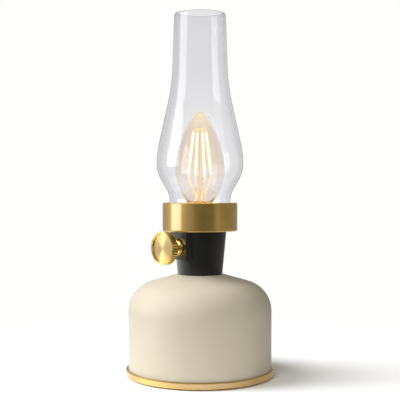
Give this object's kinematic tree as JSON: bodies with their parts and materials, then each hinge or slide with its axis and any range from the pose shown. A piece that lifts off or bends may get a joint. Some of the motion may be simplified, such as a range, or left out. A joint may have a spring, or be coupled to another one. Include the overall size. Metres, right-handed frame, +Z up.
{
  "type": "led oil lamp",
  "caption": "Rechargeable table lamp shaped like an oil lamp: domed body on a brass tray, black neck with dimmer knob, brass collar, lift-off glass chimney and screw-in filament bulb.",
  "frame": {"origin": "on the lamp's axis, at the underside of the foot ring", "axes": "+Z up along the lamp's axis; the dimmer knob points along -Y and the charging port along +Y"},
  "size_m": [0.11, 0.11, 0.2671],
  "materials": {
    "satin_brass": "brushed, lacquered",
    "bright_brass": "turned in fine rings",
    "polished_brass": "polished",
    "powder_coat": "matte powder coat",
    "black_coat": "satin black",
    "foot_rubber": "matte",
    "gasket_silicone": "matte",
    "zinc_steel": "zinc plated",
    "chimney_glass": "clear blown glass",
    "bulb_amber": "amber tinted glass",
    "stem_glass": "clear glass",
    "filament_coat": "yellow phosphor, lit",
    "support_wire": "drawn nickel wire",
    "cap_nickel": "nickel plated",
    "cap_insulator": "black glass",
    "holder_plastic": "moulded black",
    "inner_plastic": "moulded grey",
    "cell_sleeve": "shrink sleeve",
    "nickel_tab": "nickel strip",
    "board_green": "solder mask",
    "connector_white": "moulded white",
    "port_steel": "drawn steel",
    "light_pipe": "clear moulded",
    "dimmer_metal": "pressed",
    "wire_clear": "insulated wire",
    "wire_red": "insulated wire",
    "wire_black": "insulated wire"
  },
  "bodies": {
    "lamp": {"foot_ring": "foot_rubber", "base_tray": "satin_brass", "tray_screws": "zinc_steel", "ballast_plate": "zinc_steel", "tie_tube": "zinc_steel", "tie_washer": "zinc_steel", "tie_nut": "zinc_steel", "body_shell": "powder_coat", "battery_cradle": "inner_plastic", "battery_cell_front": "cell_sleeve", "battery_cell_rear": "cell_sleeve", "battery_tabs": "nickel_tab", "battery_strap": "inner_plastic", "strap_screws": "zinc_steel", "control_board": "board_green", "board_spacers": "polished_brass", "board_screws": "zinc_steel", "board_parts": "connector_white", "charge_port": "port_steel", "port_bezel": "holder_plastic", "charge_light": "light_pipe", "neck": "black_coat", "dimmer_case": "dimmer_metal", "knob_ferrule": "polished_brass", "collar": "satin_brass", "shade_ring": "holder_plastic", "chimney_gasket": "gasket_silicone", "lampholder": "holder_plastic", "lampholder_screw_shell": "polished_brass", "lampholder_contact": "polished_brass", "lamp_wires": "wire_clear", "dimmer_wires": "wire_red", "battery_wires": "wire_black"},
    "knob": {"knob": "bright_brass", "knob_set_screw": "zinc_steel", "dimmer_shaft": "zinc_steel"},
    "chimney": {"chimney": "chimney_glass"},
    "bulb_foot": {"bulb_contact": "cap_nickel"},
    "bulb": {"bulb_glass": "bulb_amber", "bulb_cap": "cap_nickel", "bulb_insulator": "cap_insulator", "bulb_stem": "stem_glass", "filaments": "filament_coat", "filament_wires": "support_wire"}
  },
  "joints": [
    {"name": "knob_turn", "type": "hinge", "parent": "lamp", "child": "knob", "pos_m": [0, -0.03, 0.0953], "axis": [0, -1, 0], "range_deg": [-150, 150]},
    {"name": "chimney_lift", "type": "slide", "parent": "lamp", "child": "chimney", "axis": [0, 0, 1], "range_m": [0, 0.1]},
    {"name": "bulb_rise", "type": "slide", "parent": "lamp", "child": "bulb_foot", "axis": [0, 0, 1], "range_m": [0, 0.017]},
    {"name": "bulb_turn", "type": "hinge", "parent": "bulb_foot", "child": "bulb", "pos_m": [0, 0, 0.11], "axis": [0, 0, 1], "range_deg": [0, 2160]}
  ],
  "couplings": [
    {"joint": "bulb_rise", "follows": "bulb_turn", "m_per_rad": 0.00044882}
  ]
}
